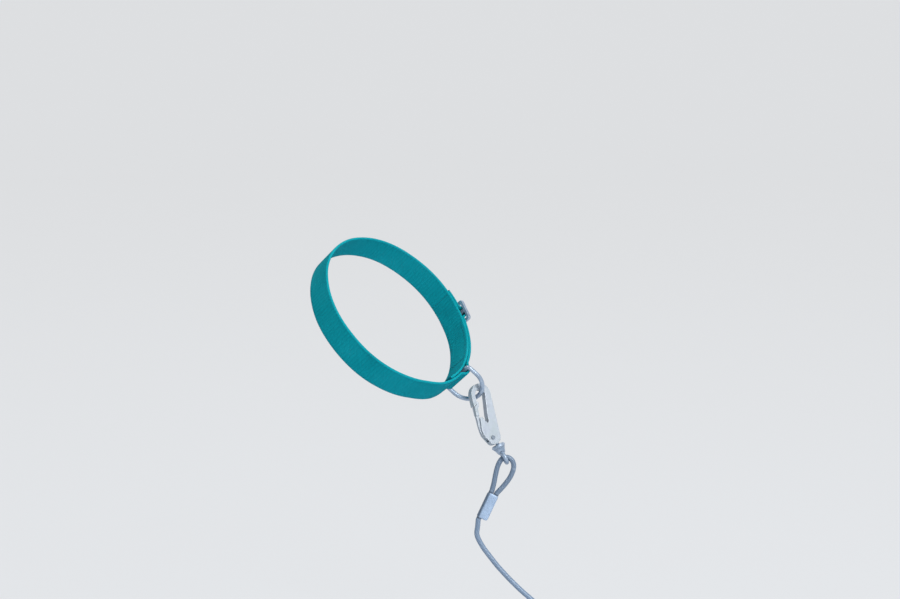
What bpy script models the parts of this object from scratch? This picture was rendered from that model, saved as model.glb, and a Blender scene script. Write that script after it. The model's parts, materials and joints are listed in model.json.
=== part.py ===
"""Sled dog collar with its neck line, as it hangs round the neck.

A webbing collar holds a D ring and a slide adjuster. A swivel snap hangs on the ring, and a
short coated wire rope with a pressed eye at each end hangs on the snap's swivel. Lengths are
in metres, +Z is up, and the origin is the centre of the neck opening.
"""

import math

import bmesh
import bpy
from mathutils import Matrix, Vector

MM = 0.001
SEAT_GAP = 0.3 * MM

# Collar webbing, one long strip that laps over itself at the ring and the slide
NECK_RADIUS = 75.0 * MM
WEBBING_WIDTH = 25.4 * MM
WEBBING_THICKNESS = 2.2 * MM
COLLAR_RISE = 41.0
COLLAR_HEADING = -37.0
RING_ANGLE = 26.4
SLIDE_ANGLE = 78.0
STRAP_START_ANGLE = 7.0
LAP_RISE_START = 340.0
LAP_RISE_END = 362.0
STRAP_TAIL = 17.0
STRAP_STEP = 2.5
STRAP_FINE_STEP = 1.0

# D ring
RING_WIRE = 4.0 * MM
RING_INNER_WIDTH = 27.0 * MM
RING_LEG = 9.7 * MM
RING_CORNER = 2.8 * MM
RING_LOOP_FLAT = 1.6 * MM
RING_LOOP_REACH = 10.0 * MM

# Slide adjuster
SLIDE_THICKNESS = 2.5 * MM
SLIDE_BAR = 3.0 * MM
SLIDE_BAR_PITCH = 8.6 * MM
SLIDE_SLOT_PLAY = 0.9 * MM
SLIDE_CORNER = 2.5 * MM
SLIDE_SLOT_CORNER = 0.8 * MM
SLIDE_EDGE = 0.4 * MM
SLIDE_LOOP_FLAT = 1.6 * MM
SLIDE_LOOP_REACH = 6.8 * MM

# Swivel snap: x runs across from the gate to the spine, z up, from the ring's wire in the throat
SNAP_SWING = 13.0
SNAP_LEAN = 20.0
SNAP_TURN = 30.0
SNAP_THICKNESS = 6.8 * MM
SNAP_ROUNDING = 1.2 * MM
THROAT_WIDTH = 9.6 * MM
SPINE_WIDTH = 5.6 * MM
SPINE_FLARE = 2.4 * MM
SPINE_FLARE_DEPTH = 18.0 * MM
HOOK_TOP = 5.2 * MM
NOSE_WIDTH = 3.7 * MM
NOSE_DEPTH = 9.8 * MM
NOSE_SLOPE = 0.6
SHOULDER_DEPTH = 19.4 * MM
THROAT_DEPTH = 25.2 * MM
FLOOR_RADIUS = 1.6 * MM
SNAP_DEPTH = 45.0 * MM
SNAP_BASE_WALL = 1.7 * MM
BASE_CORNER = 6.6 * MM
BASE_LEFT = 2.5 * MM
BASE_LEFT_CORNER = 3.4 * MM
SHOULDER_X = -3.8 * MM
SHOULDER_RADIUS = 1.5 * MM
# Gate side of the casting: x in millimetres, and how far down from the shoulder to the base
CHEEK_EDGE = [(-5.6, 0.22), (-6.1, 0.38), (-6.1, 0.50), (-5.2, 0.65)]

MORTISE_REACH = 12.0 * MM
MORTISE_RISE = 4.4 * MM
# Back of the slot for the gate's root: x in millimetres, and how far from the shoulder to the rivet
MORTISE_BACK = [(3.0, 0.40), (1.8, 0.10)]

# Gate and its rivet, whose height is taken from the foot of the base
GATE_PIVOT_X = 2.6 * MM
GATE_PIVOT_RISE = 6.0 * MM
GATE_EYE_RADIUS = 2.4 * MM
GATE_ROOT_THICKNESS = 3.0 * MM
GATE_BAR_THICKNESS = 5.0 * MM
GATE_BAR_WIDTH = 2.8 * MM
GATE_BAR_FOOT = 1.6 * MM
GATE_LAP = 4.0 * MM
GATE_LIP = 1.4 * MM
GATE_LIP_RISE = 0.2 * MM
GATE_LIP_DROP = 0.6 * MM
GATE_LAP_BACK = 1.5 * MM
GATE_LAP_FOOT = 3.0 * MM
GATE_CLEARANCE = 0.4 * MM
# Throat side and outer side of the gate's root: x in millimetres, and the way down to the rivet
GATE_INNER_EDGE = [(-4.8, 0.0), (-3.4, 0.28), (0.4, 0.66)]
GATE_OUTER_EDGE = [(-2.4, 1.01), (-5.6, 0.85), (-7.0, 0.66), (-7.5, 0.40), (-7.6, 0.05)]
RIVET_DIAMETER = 2.2 * MM
RIVET_HEAD = 3.8 * MM
RIVET_DOME = 0.8 * MM
RIVET_RIM = 0.2 * MM
RIVET_CROWN = 0.6

# Swivel: z up along its own axis, from the underside of the snap's base
SWIVEL_X = 6.8 * MM
SWIVEL_RISE = 0.7 * MM
SWIVEL_TILT = 16.0
SHANK_DIAMETER = 3.0 * MM
SHANK_CLEARANCE = 0.3 * MM
SHANK_HEAD = 4.4 * MM
SHANK_HEAD_HEIGHT = 1.1 * MM
HEAD_PLAY = 0.9 * MM
FLANGE_DROP = 1.1 * MM
FLANGE_DIAMETER = 12.3 * MM
FLANGE_HEIGHT = 3.5 * MM
FLANGE_EDGE = 1.1 * MM
HEAD_EDGE = 0.3 * MM
NECK_DIAMETER = 9.6 * MM
NECK_FOOT_DIAMETER = 6.2 * MM
NECK_FILLET = 0.7 * MM
NECK_OVERLAP = 1.5 * MM
EYE_WIRE = 3.7 * MM
EYE_INNER_RADIUS = 3.3 * MM
EYE_DEPTH = 13.6 * MM
EYE_TURN = 12.0

# Wire rope line: x to the right and z up, from the foot of the swivel's eye, where it pivots
ROPE_DIAMETER = 4.5 * MM
LINE_LEAN = 10.0
FERRULE_LENGTH = 23.8 * MM
FERRULE_WIDTH = 9.8 * MM
FERRULE_DEPTH = 6.2 * MM
FERRULE_TILT = 25.4
FERRULE_TOP = (-11.7, -27.3)
FERRULE_ROUNDING = 0.8 * MM
STRAND_SPACING = 4.8 * MM
FAR_FERRULE_TILT = -52.0
ROPE_STEP = 5.0 * MM
EYE_STEP = 2.0 * MM
END_LEAD = 1.8 * MM

# Fineness of round shapes
TURNED_STEPS = 32
DRILL_STEPS = 24
EYE_RING_STEPS = 28

# Middle line of the eye that hangs in the swivel, in millimetres
EYE_ROUTE = [
    (-11.3, -18.1), (-9.8, -10.4), (-8.0, -3.3), (-5.4, 2.0), (-2.5, 4.2), (0.2, 4.6), (2.9, 3.6),
    (5.3, 0.5), (5.9, -4.5), (3.6, -11.3), (-0.8, -17.9), (-5.9, -23.7),
]
# Middle line of the rope below its ferrule, in millimetres
ROPE_ROUTE = [
    (-25.3, -54.3), (-25.9, -58.6), (-26.2, -61.6), (-25.4, -64.9), (-23.4, -69.2),
    (-19.8, -75.0), (-15.9, -80.2), (-12.5, -84.6), (-8.0, -90.2), (-3.5, -95.2),
    (1.5, -100.6), (7.0, -106.1), (13.0, -111.8), (19.8, -117.7), (27.0, -123.7), (34.6, -129.5),
]
ROPE_END = (42.4, -135.4)


def clear_scene():
    """Remove every object that the scene starts with."""
    for obj in list(bpy.data.objects):
        bpy.data.objects.remove(obj, do_unlink=True)


def make_collection(name):
    """Return a new collection under the scene's own."""
    collection = bpy.data.collections.new(name)
    bpy.context.scene.collection.children.link(collection)
    return collection


def make_material(name, colour, roughness, metallic):
    """Return a Principled material of one colour."""
    material = bpy.data.materials.new(name)
    material.use_nodes = True
    shader = material.node_tree.nodes["Principled BSDF"]
    shader.inputs["Base Color"].default_value = (*colour, 1.0)
    shader.inputs["Roughness"].default_value = roughness
    shader.inputs["Metallic"].default_value = metallic
    return material


def hanging_direction(swing, lean):
    """Return the way down of a hanging piece: swung to the right and leant to the front."""
    swing = math.radians(swing)
    lean = math.radians(lean)
    down = math.cos(swing)
    return Vector((math.sin(swing), -down * math.sin(lean), -down * math.cos(lean)))


def hanging_frame(origin, swing, lean, turn=0.0):
    """Return the frame of a hanging piece: z up along it, x to the right, y away from the front."""
    up = -hanging_direction(swing, lean)
    away = Vector((0.0, 1.0, 0.0))
    away = (away - away.dot(up) * up).normalized()
    away = Matrix.Rotation(math.radians(turn), 3, up) @ away
    right = away.cross(up)
    return frame_of(origin, right, away, up)


def frame_of(origin, right, away, up):
    """Return a 4 x 4 matrix with these axes as its columns."""
    matrix = Matrix((right, away, up)).transposed().to_4x4()
    matrix.translation = origin
    return matrix


def collar_frame():
    """Return the collar's frame: z along the neck to the head, x down to the throat."""
    rise = math.radians(COLLAR_RISE)
    heading = math.radians(COLLAR_HEADING)
    flat = math.cos(rise)
    axis = Vector((flat * math.cos(heading), flat * math.sin(heading), math.sin(rise)))
    down = Vector((0.0, 0.0, -1.0))
    throat = (down - down.dot(axis) * axis).normalized()
    return frame_of(Vector(), throat, axis.cross(throat), axis)


def place_on_collar(angle, radius):
    """Return a place round the neck in the collar's frame, x out and z along the neck."""
    return Matrix.Rotation(math.radians(angle), 4, "Z") @ Matrix.Translation((radius, 0.0, 0.0))


def add_empty(collection, name, matrix):
    """Add an empty that carries the pieces of one moving body."""
    empty = bpy.data.objects.new(name, None)
    empty.empty_display_size = 0.01
    collection.objects.link(empty)
    empty.matrix_world = matrix
    return empty


def add_object(collection, name, data, parent, material=None):
    """Add an object whose mesh is drawn in its parent's frame."""
    obj = bpy.data.objects.new(name, data)
    collection.objects.link(obj)
    obj.parent = parent
    if material:
        data.materials.append(material)
    return obj


def take_mesh(obj):
    """Turn a curve or a piece with modifiers into a plain mesh object in the same place."""
    bpy.context.view_layer.update()
    evaluated = obj.evaluated_get(bpy.context.evaluated_depsgraph_get())
    mesh = bpy.data.meshes.new_from_object(evaluated)
    shape = bmesh.new()
    shape.from_mesh(mesh)
    bmesh.ops.remove_doubles(shape, verts=shape.verts, dist=0.002 * MM)
    shape.to_mesh(mesh)
    shape.free()
    name = obj.name
    collection = obj.users_collection[0]
    parent = obj.parent
    bpy.data.objects.remove(obj, do_unlink=True)
    plain = bpy.data.objects.new(name, mesh)
    collection.objects.link(plain)
    plain.parent = parent
    return plain


def smooth_by_angle(obj, degrees):
    """Shade a mesh smooth, with edges sharper than this angle kept crisp."""
    obj.data.shade_smooth()
    obj.data.set_sharp_from_angle(angle=math.radians(degrees))


def add_bevel(obj, width, segments, degrees):
    """Round the edges of a piece that are sharper than this angle."""
    bevel = obj.modifiers.new("eased_edges", "BEVEL")
    bevel.width = width
    bevel.segments = segments
    bevel.limit_method = "ANGLE"
    bevel.angle_limit = math.radians(degrees)


def arc(centre_x, centre_z, radius, start, end, count):
    """Return points along an arc, its angles in degrees."""
    points = []
    for index in range(count + 1):
        angle = math.radians(start + (end - start) * index / count)
        points.append((centre_x + radius * math.cos(angle), centre_z + radius * math.sin(angle)))
    return points


def add_plate(collection, name, outline, thickness, parent, material=None):
    """Add a plate: an outline in x and z, given its thickness along y."""
    curve = bpy.data.curves.new(name, "CURVE")
    curve.dimensions = "2D"
    curve.fill_mode = "BOTH"
    curve.extrude = thickness / 2
    spline = curve.splines.new("POLY")
    spline.points.add(len(outline) - 1)
    for point, (x, z) in zip(spline.points, outline):
        point.co = (x, z, 0.0, 1.0)
    spline.use_cyclic_u = True
    plate = take_mesh(add_object(collection, name, curve, parent))
    plate.data.transform(Matrix.Rotation(math.radians(90), 4, "X"))
    if material:
        plate.data.materials.append(material)
    return plate


def add_tube(collection, name, points, diameter, parent, material, cyclic=False, resolution=2):
    """Add a round tube along a line of points, closed at its ends or all the way round."""
    curve = bpy.data.curves.new(name, "CURVE")
    curve.dimensions = "3D"
    curve.bevel_depth = diameter / 2
    curve.bevel_resolution = resolution
    curve.use_fill_caps = not cyclic
    spline = curve.splines.new("POLY")
    spline.points.add(len(points) - 1)
    for point, place in zip(spline.points, points):
        point.co = (*place, 1.0)
    spline.use_cyclic_u = cyclic
    spline.use_smooth = True
    tube = take_mesh(add_object(collection, name, curve, parent))
    if material:
        tube.data.materials.append(material)
    smooth_by_angle(tube, 50)
    return tube


def add_turned(collection, name, profile, parent, steps, material=None):
    """Add a turned piece: a profile of radius and z, from its top to its foot, spun about z."""
    mesh = bpy.data.meshes.new(name)
    edges = [(index, index + 1) for index in range(len(profile) - 1)]
    mesh.from_pydata([(radius, 0.0, z) for radius, z in profile], edges, [])
    piece = add_object(collection, name, mesh, parent)
    screw = piece.modifiers.new("turned", "SCREW")
    screw.steps = steps
    screw.render_steps = steps
    screw.use_merge_vertices = True
    screw.merge_threshold = 0.00001
    piece = take_mesh(piece)
    if material:
        piece.data.materials.append(material)
    return piece


def combine(piece, other, operation):
    """Join another shape to a piece, or cut it away, and remove the other shape."""
    modifier = piece.modifiers.new(operation, "BOOLEAN")
    modifier.operation = operation
    modifier.solver = "EXACT"
    modifier.object = other
    materials = list(piece.data.materials)
    result = take_mesh(piece)
    bpy.data.objects.remove(other, do_unlink=True)
    result.data.materials.clear()
    for material in materials:
        result.data.materials.append(material)
    return result


def smooth_line(route, step):
    """Return points a step apart on a smooth curve through the route's points."""
    route = [Vector(point) for point in route]
    padded = [2 * route[0] - route[1], *route, 2 * route[-1] - route[-2]]
    fine = []
    for before, start, end, after in zip(padded, padded[1:], padded[2:], padded[3:]):
        for index in range(12):
            t = index / 12
            fine.append(
                0.5
                * (
                    2 * start
                    + (end - before) * t
                    + (2 * before - 5 * start + 4 * end - after) * t * t
                    + (3 * start - before - 3 * end + after) * t * t * t
                )
            )
    fine.append(route[-1])
    lengths = [0.0]
    for start, end in zip(fine, fine[1:]):
        lengths.append(lengths[-1] + (end - start).length)
    count = max(2, round(lengths[-1] / step))
    points = []
    index = 0
    for number in range(count + 1):
        target = lengths[-1] * number / count
        while index < len(fine) - 2 and lengths[index + 1] < target:
            index += 1
        share = (target - lengths[index]) / (lengths[index + 1] - lengths[index])
        points.append(fine[index].lerp(fine[index + 1], min(1.0, share)))
    return points


def ease(value):
    """Return a smooth step from 0 to 1."""
    value = min(1.0, max(0.0, value))
    return value * value * (3 - 2 * value)


def hump(offset, flat, reach):
    """Return the height from 0 to 1 of webbing that goes over a bar, at this distance from it."""
    return ease((reach - abs(offset)) / (reach - flat))


def ring_radius():
    """Return how far the ring's bar lies from the neck's centre line."""
    return NECK_RADIUS + WEBBING_THICKNESS / 2 + SEAT_GAP + RING_WIRE / 2


def slide_radius():
    """Return how far the slide's middle plane lies from the neck's centre line."""
    outer_layer_top = NECK_RADIUS + 1.5 * WEBBING_THICKNESS + SEAT_GAP
    return outer_layer_top + SEAT_GAP + SLIDE_THICKNESS / 2


def strap_radius(angle):
    """Return the webbing's middle radius along the strip, which starts under its own end."""
    layer = WEBBING_THICKNESS + SEAT_GAP
    radius = NECK_RADIUS + layer * ease((angle - LAP_RISE_START) / (LAP_RISE_END - LAP_RISE_START))
    if angle > LAP_RISE_START:
        outer = NECK_RADIUS + layer
        over_ring = ring_radius() + RING_WIRE / 2 + SEAT_GAP + WEBBING_THICKNESS / 2 - outer
        over_bar = slide_radius() + SLIDE_THICKNESS / 2 + SEAT_GAP + WEBBING_THICKNESS / 2 - outer
        from_ring = math.radians(angle - 360 - RING_ANGLE) * outer
        from_bar = math.radians(angle - 360 - SLIDE_ANGLE) * outer
        radius += over_ring * hump(from_ring, RING_LOOP_FLAT, RING_LOOP_REACH)
        radius += over_bar * hump(from_bar, SLIDE_LOOP_FLAT, SLIDE_LOOP_REACH)
    return radius


def strap_angles():
    """Return the angles along the strip, closer together where it rises over a bar."""
    end = 360 + SLIDE_ANGLE + STRAP_TAIL
    ring_span = math.degrees(RING_LOOP_REACH / NECK_RADIUS) + STRAP_FINE_STEP
    bar_span = math.degrees(SLIDE_LOOP_REACH / NECK_RADIUS) + STRAP_FINE_STEP
    angles = [STRAP_START_ANGLE]
    while angles[-1] < end - 0.01:
        fine = angles[-1] > LAP_RISE_START
        near_ring = abs(angles[-1] - 360 - RING_ANGLE) < ring_span
        near_bar = abs(angles[-1] - 360 - SLIDE_ANGLE) < bar_span
        step = STRAP_FINE_STEP if fine and (near_ring or near_bar) else STRAP_STEP
        angles.append(min(end, angles[-1] + step))
    return angles


def add_collar_band(collection, parent, material):
    """Add the webbing: one strip round the neck, lapped over the ring's bar and the slide's."""
    angles = strap_angles()
    middle = []
    for angle in angles:
        turn = math.radians(angle)
        middle.append(strap_radius(angle) * Vector((math.cos(turn), math.sin(turn))))
    outer = []
    inner = []
    for index, point in enumerate(middle):
        along = (middle[min(index + 1, len(middle) - 1)] - middle[max(index - 1, 0)]).normalized()
        across = Vector((along.y, -along.x)) * WEBBING_THICKNESS / 2
        outer.append(point + across)
        inner.append(point - across)
    outline = [(point.x, point.y) for point in outer + inner[::-1]]
    band = add_plate(collection, "collar_band", outline, WEBBING_WIDTH, parent, material)
    band.data.transform(Matrix.Rotation(math.radians(-90), 4, "X"))
    smooth_by_angle(band, 40)
    return band


def rounded_rectangle(width, height, corner, count):
    """Return the outline of a rectangle with round corners, centred on the origin."""
    points = []
    for sign_x, sign_z, start in ((1, 1, 0), (-1, 1, 90), (-1, -1, 180), (1, -1, 270)):
        centre_x = sign_x * (width / 2 - corner)
        centre_z = sign_z * (height / 2 - corner)
        points += arc(centre_x, centre_z, corner, start, start + 90, count)
    return points


def add_slide(collection, cutters, parent, material):
    """Add the slide adjuster: a flat frame with a middle bar, laid on the webbing."""
    slot_length = WEBBING_WIDTH + 2 * SLIDE_SLOT_PLAY
    width = 2 * SLIDE_BAR_PITCH + SLIDE_BAR
    height = slot_length + 2 * SLIDE_BAR
    frame = rounded_rectangle(width, height, SLIDE_CORNER, 6)
    slide = add_plate(collection, "adjuster_slide", frame, SLIDE_THICKNESS, parent, material)
    slot_width = SLIDE_BAR_PITCH - SLIDE_BAR
    for side in (-1, 1):
        slot = rounded_rectangle(slot_width, slot_length, SLIDE_SLOT_CORNER, 3)
        slot = [(x + side * SLIDE_BAR_PITCH / 2, z) for x, z in slot]
        cutter = add_plate(cutters, "slot_cutter", slot, 3 * SLIDE_THICKNESS, parent)
        slide = combine(slide, cutter, "DIFFERENCE")
    add_bevel(slide, SLIDE_EDGE, 2, 60)
    smooth_by_angle(slide, 40)
    return slide


def add_ring(collection, parent, material):
    """Add the D ring: its bar along z through the origin, its bow out along x."""
    half = (RING_INNER_WIDTH + RING_WIRE) / 2
    corner = RING_CORNER
    points = arc(corner, -half + corner, corner, 180, 270, 6)
    points += arc(RING_LEG, 0.0, half, -90, 90, 24)
    points += arc(corner, half - corner, corner, 90, 180, 6)
    line = [(x, 0.0, z) for x, z in points]
    return add_tube(collection, "d_ring", line, RING_WIRE, parent, material, cyclic=True, resolution=5)


def ring_reach():
    """Return the distance from the ring's bar to the middle of its bow."""
    return RING_LEG + (RING_INNER_WIDTH + RING_WIRE) / 2


def down_from_shoulder(table, foot_depth):
    """Return points of a table of x and the share of the way from the shoulder to a lower place."""
    span = foot_depth - SHOULDER_DEPTH
    return [(x * MM, -SHOULDER_DEPTH - share * span) for x, share in table]


def pivot_place():
    """Return the middle of the gate's rivet in the snap's frame."""
    return Vector((GATE_PIVOT_X, 0.0, GATE_PIVOT_RISE - SNAP_DEPTH))


def swivel_place():
    """Return where the swivel's axis leaves the snap's base, in the snap's frame."""
    return Vector((SWIVEL_X, 0.0, SWIVEL_RISE - SNAP_DEPTH))


def snap_outline():
    """Return the outline of the snap's casting in x and z."""
    throat = THROAT_WIDTH / 2
    spine = throat + SPINE_WIDTH
    nose = throat + NOSE_WIDTH
    outer_centre = (spine - nose) / 2
    outer_radius = (spine + nose) / 2
    rise = (throat + HOOK_TOP) / outer_radius
    inner_x = throat - SPINE_FLARE
    points = arc(spine - BASE_CORNER, -SNAP_DEPTH + BASE_CORNER, BASE_CORNER, -90, 0, 10)
    points += [(x, z * rise) for x, z in arc(outer_centre, 0.0, outer_radius, 0, 180, 24)]
    points.append((-nose, -NOSE_DEPTH))
    points.append((-throat, -NOSE_DEPTH + NOSE_SLOPE * NOSE_WIDTH))
    points += arc(0.0, 0.0, throat, 180, 0, 16)
    points.append((inner_x, -SPINE_FLARE_DEPTH))
    points += arc(inner_x - FLOOR_RADIUS, -THROAT_DEPTH + FLOOR_RADIUS, FLOOR_RADIUS, 0, -100, 6)
    points += arc(SHOULDER_X, -SHOULDER_DEPTH - SHOULDER_RADIUS, SHOULDER_RADIUS, 50, 180, 8)
    points += down_from_shoulder(CHEEK_EDGE, SNAP_DEPTH)
    points += arc(BASE_LEFT, -SNAP_DEPTH + BASE_LEFT_CORNER, BASE_LEFT_CORNER, 205, 270, 6)
    return points


def gate_outline():
    """Return the outline of the gate in x and z, shut against the nose."""
    pivot = pivot_place()
    throat = THROAT_WIDTH / 2
    outer = throat + GATE_BAR_WIDTH
    lap_x = throat - GATE_CLEARANCE
    lip_x = lap_x - GATE_LIP
    shoulder_z = -NOSE_DEPTH + NOSE_SLOPE * (NOSE_WIDTH - GATE_BAR_WIDTH) - GATE_CLEARANCE * 1.3
    lap_z = shoulder_z + GATE_LAP
    points = [(-outer, shoulder_z), (-lap_x, shoulder_z + NOSE_SLOPE * (outer - lap_x))]
    points += [(-lap_x, lap_z), (-lip_x - GATE_LIP_DROP, lap_z + GATE_LIP_RISE)]
    points += [(-lip_x, lap_z - GATE_LIP_DROP), (GATE_LAP_BACK - throat, shoulder_z)]
    points.append((-throat, shoulder_z - GATE_LAP_FOOT))
    points += down_from_shoulder(GATE_INNER_EDGE, -pivot.z)
    points += arc(pivot.x, pivot.z, GATE_EYE_RADIUS, 60, -140, 12)
    points += down_from_shoulder(GATE_OUTER_EDGE, -pivot.z)
    return points


def mortise_outline():
    """Return the outline of the slot in the casting that the gate's root swings in."""
    pivot = pivot_place()
    radius = GATE_EYE_RADIUS + GATE_CLEARANCE
    points = [(-MORTISE_REACH, pivot.z - radius)]
    points += arc(pivot.x, pivot.z, radius, -90, 30, 8)
    points += down_from_shoulder(MORTISE_BACK, -pivot.z)
    points.append((-MORTISE_REACH, -SHOULDER_DEPTH + MORTISE_RISE))
    return points


def swivel_axis_in_snap():
    """Return the swivel's way up in the snap's own frame."""
    tilt = math.radians(SWIVEL_TILT)
    return Vector((-math.sin(tilt), 0.0, math.cos(tilt)))


def add_drill(cutters, name, parent, place, axis, radius, length):
    """Add a round cutter centred on a place and set along an axis."""
    half = length / 2
    profile = [(0.0, half), (radius, half), (radius, -half), (0.0, -half)]
    drill = add_turned(cutters, name, profile, parent, DRILL_STEPS)
    turn = Vector((0.0, 0.0, 1.0)).rotation_difference(axis).to_matrix().to_4x4()
    drill.data.transform(Matrix.Translation(place) @ turn)
    return drill


def rivet_drill(cutters, parent):
    """Add the cutter for the rivet's hole."""
    hole = RIVET_DIAMETER / 2 + SEAT_GAP
    across = Vector((0.0, 1.0, 0.0))
    return add_drill(cutters, "rivet_drill", parent, pivot_place(), across, hole, 2 * SNAP_THICKNESS)


def add_snap_body(collection, cutters, parent, material):
    """Add the snap's casting: hook, spine and a forked base that holds the gate and the swivel."""
    body = add_plate(collection, "snap_body", snap_outline(), SNAP_THICKNESS, parent, material)
    add_bevel(body, SNAP_ROUNDING, 3, 50)
    mortise_width = GATE_ROOT_THICKNESS + 2 * GATE_CLEARANCE
    mortise = add_plate(cutters, "mortise_cutter", mortise_outline(), mortise_width, parent)
    body = combine(body, mortise, "DIFFERENCE")
    body = combine(body, rivet_drill(cutters, parent), "DIFFERENCE")
    axis = swivel_axis_in_snap()
    foot = swivel_place()
    bore = SHANK_DIAMETER / 2 + SHANK_CLEARANCE
    shank_bore = add_drill(cutters, "shank_bore", parent, foot, axis, bore, 3 * SNAP_BASE_WALL)
    body = combine(body, shank_bore, "DIFFERENCE")
    chamber_height = SHANK_HEAD_HEIGHT + HEAD_PLAY
    middle = foot + axis * (SNAP_BASE_WALL + chamber_height / 2)
    chamber_radius = SHANK_HEAD / 2 + GATE_CLEARANCE
    chamber = add_drill(cutters, "head_chamber", parent, middle, axis, chamber_radius, chamber_height)
    body = combine(body, chamber, "DIFFERENCE")
    smooth_by_angle(body, 35)
    return body


def add_gate(collection, cutters, parent, material):
    """Add the gate: a thin root on the rivet and a thicker bar that shuts the throat."""
    pivot = pivot_place()
    outline = gate_outline()
    gate = add_plate(collection, "snap_gate", outline, GATE_ROOT_THICKNESS, parent, material)
    bar_foot = -SHOULDER_DEPTH + GATE_BAR_FOOT
    bar = [point for point in outline if point[1] > bar_foot]
    throat = THROAT_WIDTH / 2
    bar += [(-throat, bar_foot), (-throat - GATE_BAR_WIDTH, bar_foot)]
    gate = combine(gate, add_plate(cutters, "gate_bar", bar, GATE_BAR_THICKNESS, parent), "UNION")
    gate = combine(gate, rivet_drill(cutters, parent), "DIFFERENCE")
    gate.data.transform(Matrix.Translation(-pivot))
    gate.location = pivot
    smooth_by_angle(gate, 35)
    return gate


def add_rivet(collection, parent, material):
    """Add the gate's rivet, with a low dome on each side of the casting."""
    half = SNAP_THICKNESS / 2 + SEAT_GAP
    top = half + RIVET_DOME
    head = RIVET_HEAD / 2
    shank = RIVET_DIAMETER / 2
    rim = half + RIVET_RIM
    profile = [(0.0, top), (head * RIVET_CROWN, top - RIVET_RIM / 4), (head, rim)]
    profile += [(head, half), (shank, half)]
    profile += [(radius, -z) for radius, z in reversed(profile)]
    rivet = add_turned(collection, "gate_rivet", profile, parent, DRILL_STEPS, material)
    rivet.data.transform(Matrix.Translation(pivot_place()) @ Matrix.Rotation(math.radians(90), 4, "X"))
    smooth_by_angle(rivet, 40)
    return rivet


def add_swivel(collection, cutters, parent, material):
    """Add the swivel: a headed shank, a round flange and a ring eye, all one forging."""
    head_foot = SNAP_BASE_WALL + SEAT_GAP
    head_top = head_foot + SHANK_HEAD_HEIGHT
    head = SHANK_HEAD / 2
    shank = SHANK_DIAMETER / 2
    flange = FLANGE_DIAMETER / 2
    flange_foot = -FLANGE_DROP - FLANGE_HEIGHT
    edge = FLANGE_EDGE
    eye_radius = EYE_INNER_RADIUS + EYE_WIRE / 2
    neck = NECK_DIAMETER / 2
    neck_foot = -EYE_DEPTH + eye_radius - NECK_OVERLAP
    profile = [(0.0, head_top), (head - HEAD_EDGE, head_top), (head, head_top - HEAD_EDGE)]
    profile += [(head, head_foot), (shank, head_foot), (shank, -FLANGE_DROP)]
    profile += [(flange - edge, -FLANGE_DROP), (flange, -FLANGE_DROP - edge)]
    profile += [(flange, flange_foot + edge), (flange - edge, flange_foot)]
    profile += [(neck + NECK_FILLET, flange_foot), (neck, flange_foot - NECK_FILLET)]
    profile += [(NECK_FOOT_DIAMETER / 2, neck_foot), (0.0, neck_foot)]
    swivel = add_turned(collection, "swivel_eye", profile, parent, TURNED_STEPS, material)
    last = 450 - 360 / EYE_RING_STEPS
    turn = Matrix.Rotation(math.radians(EYE_TURN), 3, "Z")
    circle = arc(0.0, -EYE_DEPTH, eye_radius, 90, last, EYE_RING_STEPS - 1)
    line = [turn @ Vector((0.0, y, z)) for y, z in circle]
    ring = add_tube(cutters, "eye_ring", line, EYE_WIRE, parent, None, cyclic=True, resolution=4)
    swivel = combine(swivel, ring, "UNION")
    smooth_by_angle(swivel, 40)
    return swivel


def eye_foot_depth():
    """Return how far below the snap's base the middle of the eye's foot lies."""
    return EYE_DEPTH + EYE_INNER_RADIUS + EYE_WIRE / 2


def in_line(point):
    """Return a point of the line's own plane, given in millimetres."""
    return Vector((point[0] * MM, 0.0, point[1] * MM))


def ferrule_frame(top, tilt):
    """Return the frame of a ferrule: origin at its loaded end, z back along the rope."""
    matrix = Matrix.Rotation(math.radians(tilt), 4, "Y")
    matrix.translation = top
    return matrix


def add_ferrule(collection, name, parent, matrix, material):
    """Add a pressed ferrule: an oval sleeve with eased ends, from its frame's origin down."""
    flat = (FERRULE_WIDTH - FERRULE_DEPTH) / 2
    radius = FERRULE_DEPTH / 2
    outline = arc(flat, 0.0, radius, -90, 90, 12) + arc(-flat, 0.0, radius, 90, 270, 12)
    ferrule = add_plate(collection, name, outline, FERRULE_LENGTH, parent, material)
    lay_down = Matrix.Rotation(math.radians(90), 4, "X")
    ferrule.data.transform(matrix @ Matrix.Translation((0.0, 0.0, -FERRULE_LENGTH / 2)) @ lay_down)
    add_bevel(ferrule, FERRULE_ROUNDING, 3, 50)
    smooth_by_angle(ferrule, 40)
    return ferrule


def eye_line(matrix, route):
    """Return an eye's middle line, from one side of its ferrule round and back to the other."""
    half = STRAND_SPACING / 2
    left = matrix @ Vector((-half, 0.0, SEAT_GAP))
    right = matrix @ Vector((half, 0.0, SEAT_GAP))
    lead = matrix.to_3x3() @ Vector((0.0, 0.0, END_LEAD))
    return [left, *smooth_line([left + lead, *route, right + lead], EYE_STEP), right]


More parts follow.
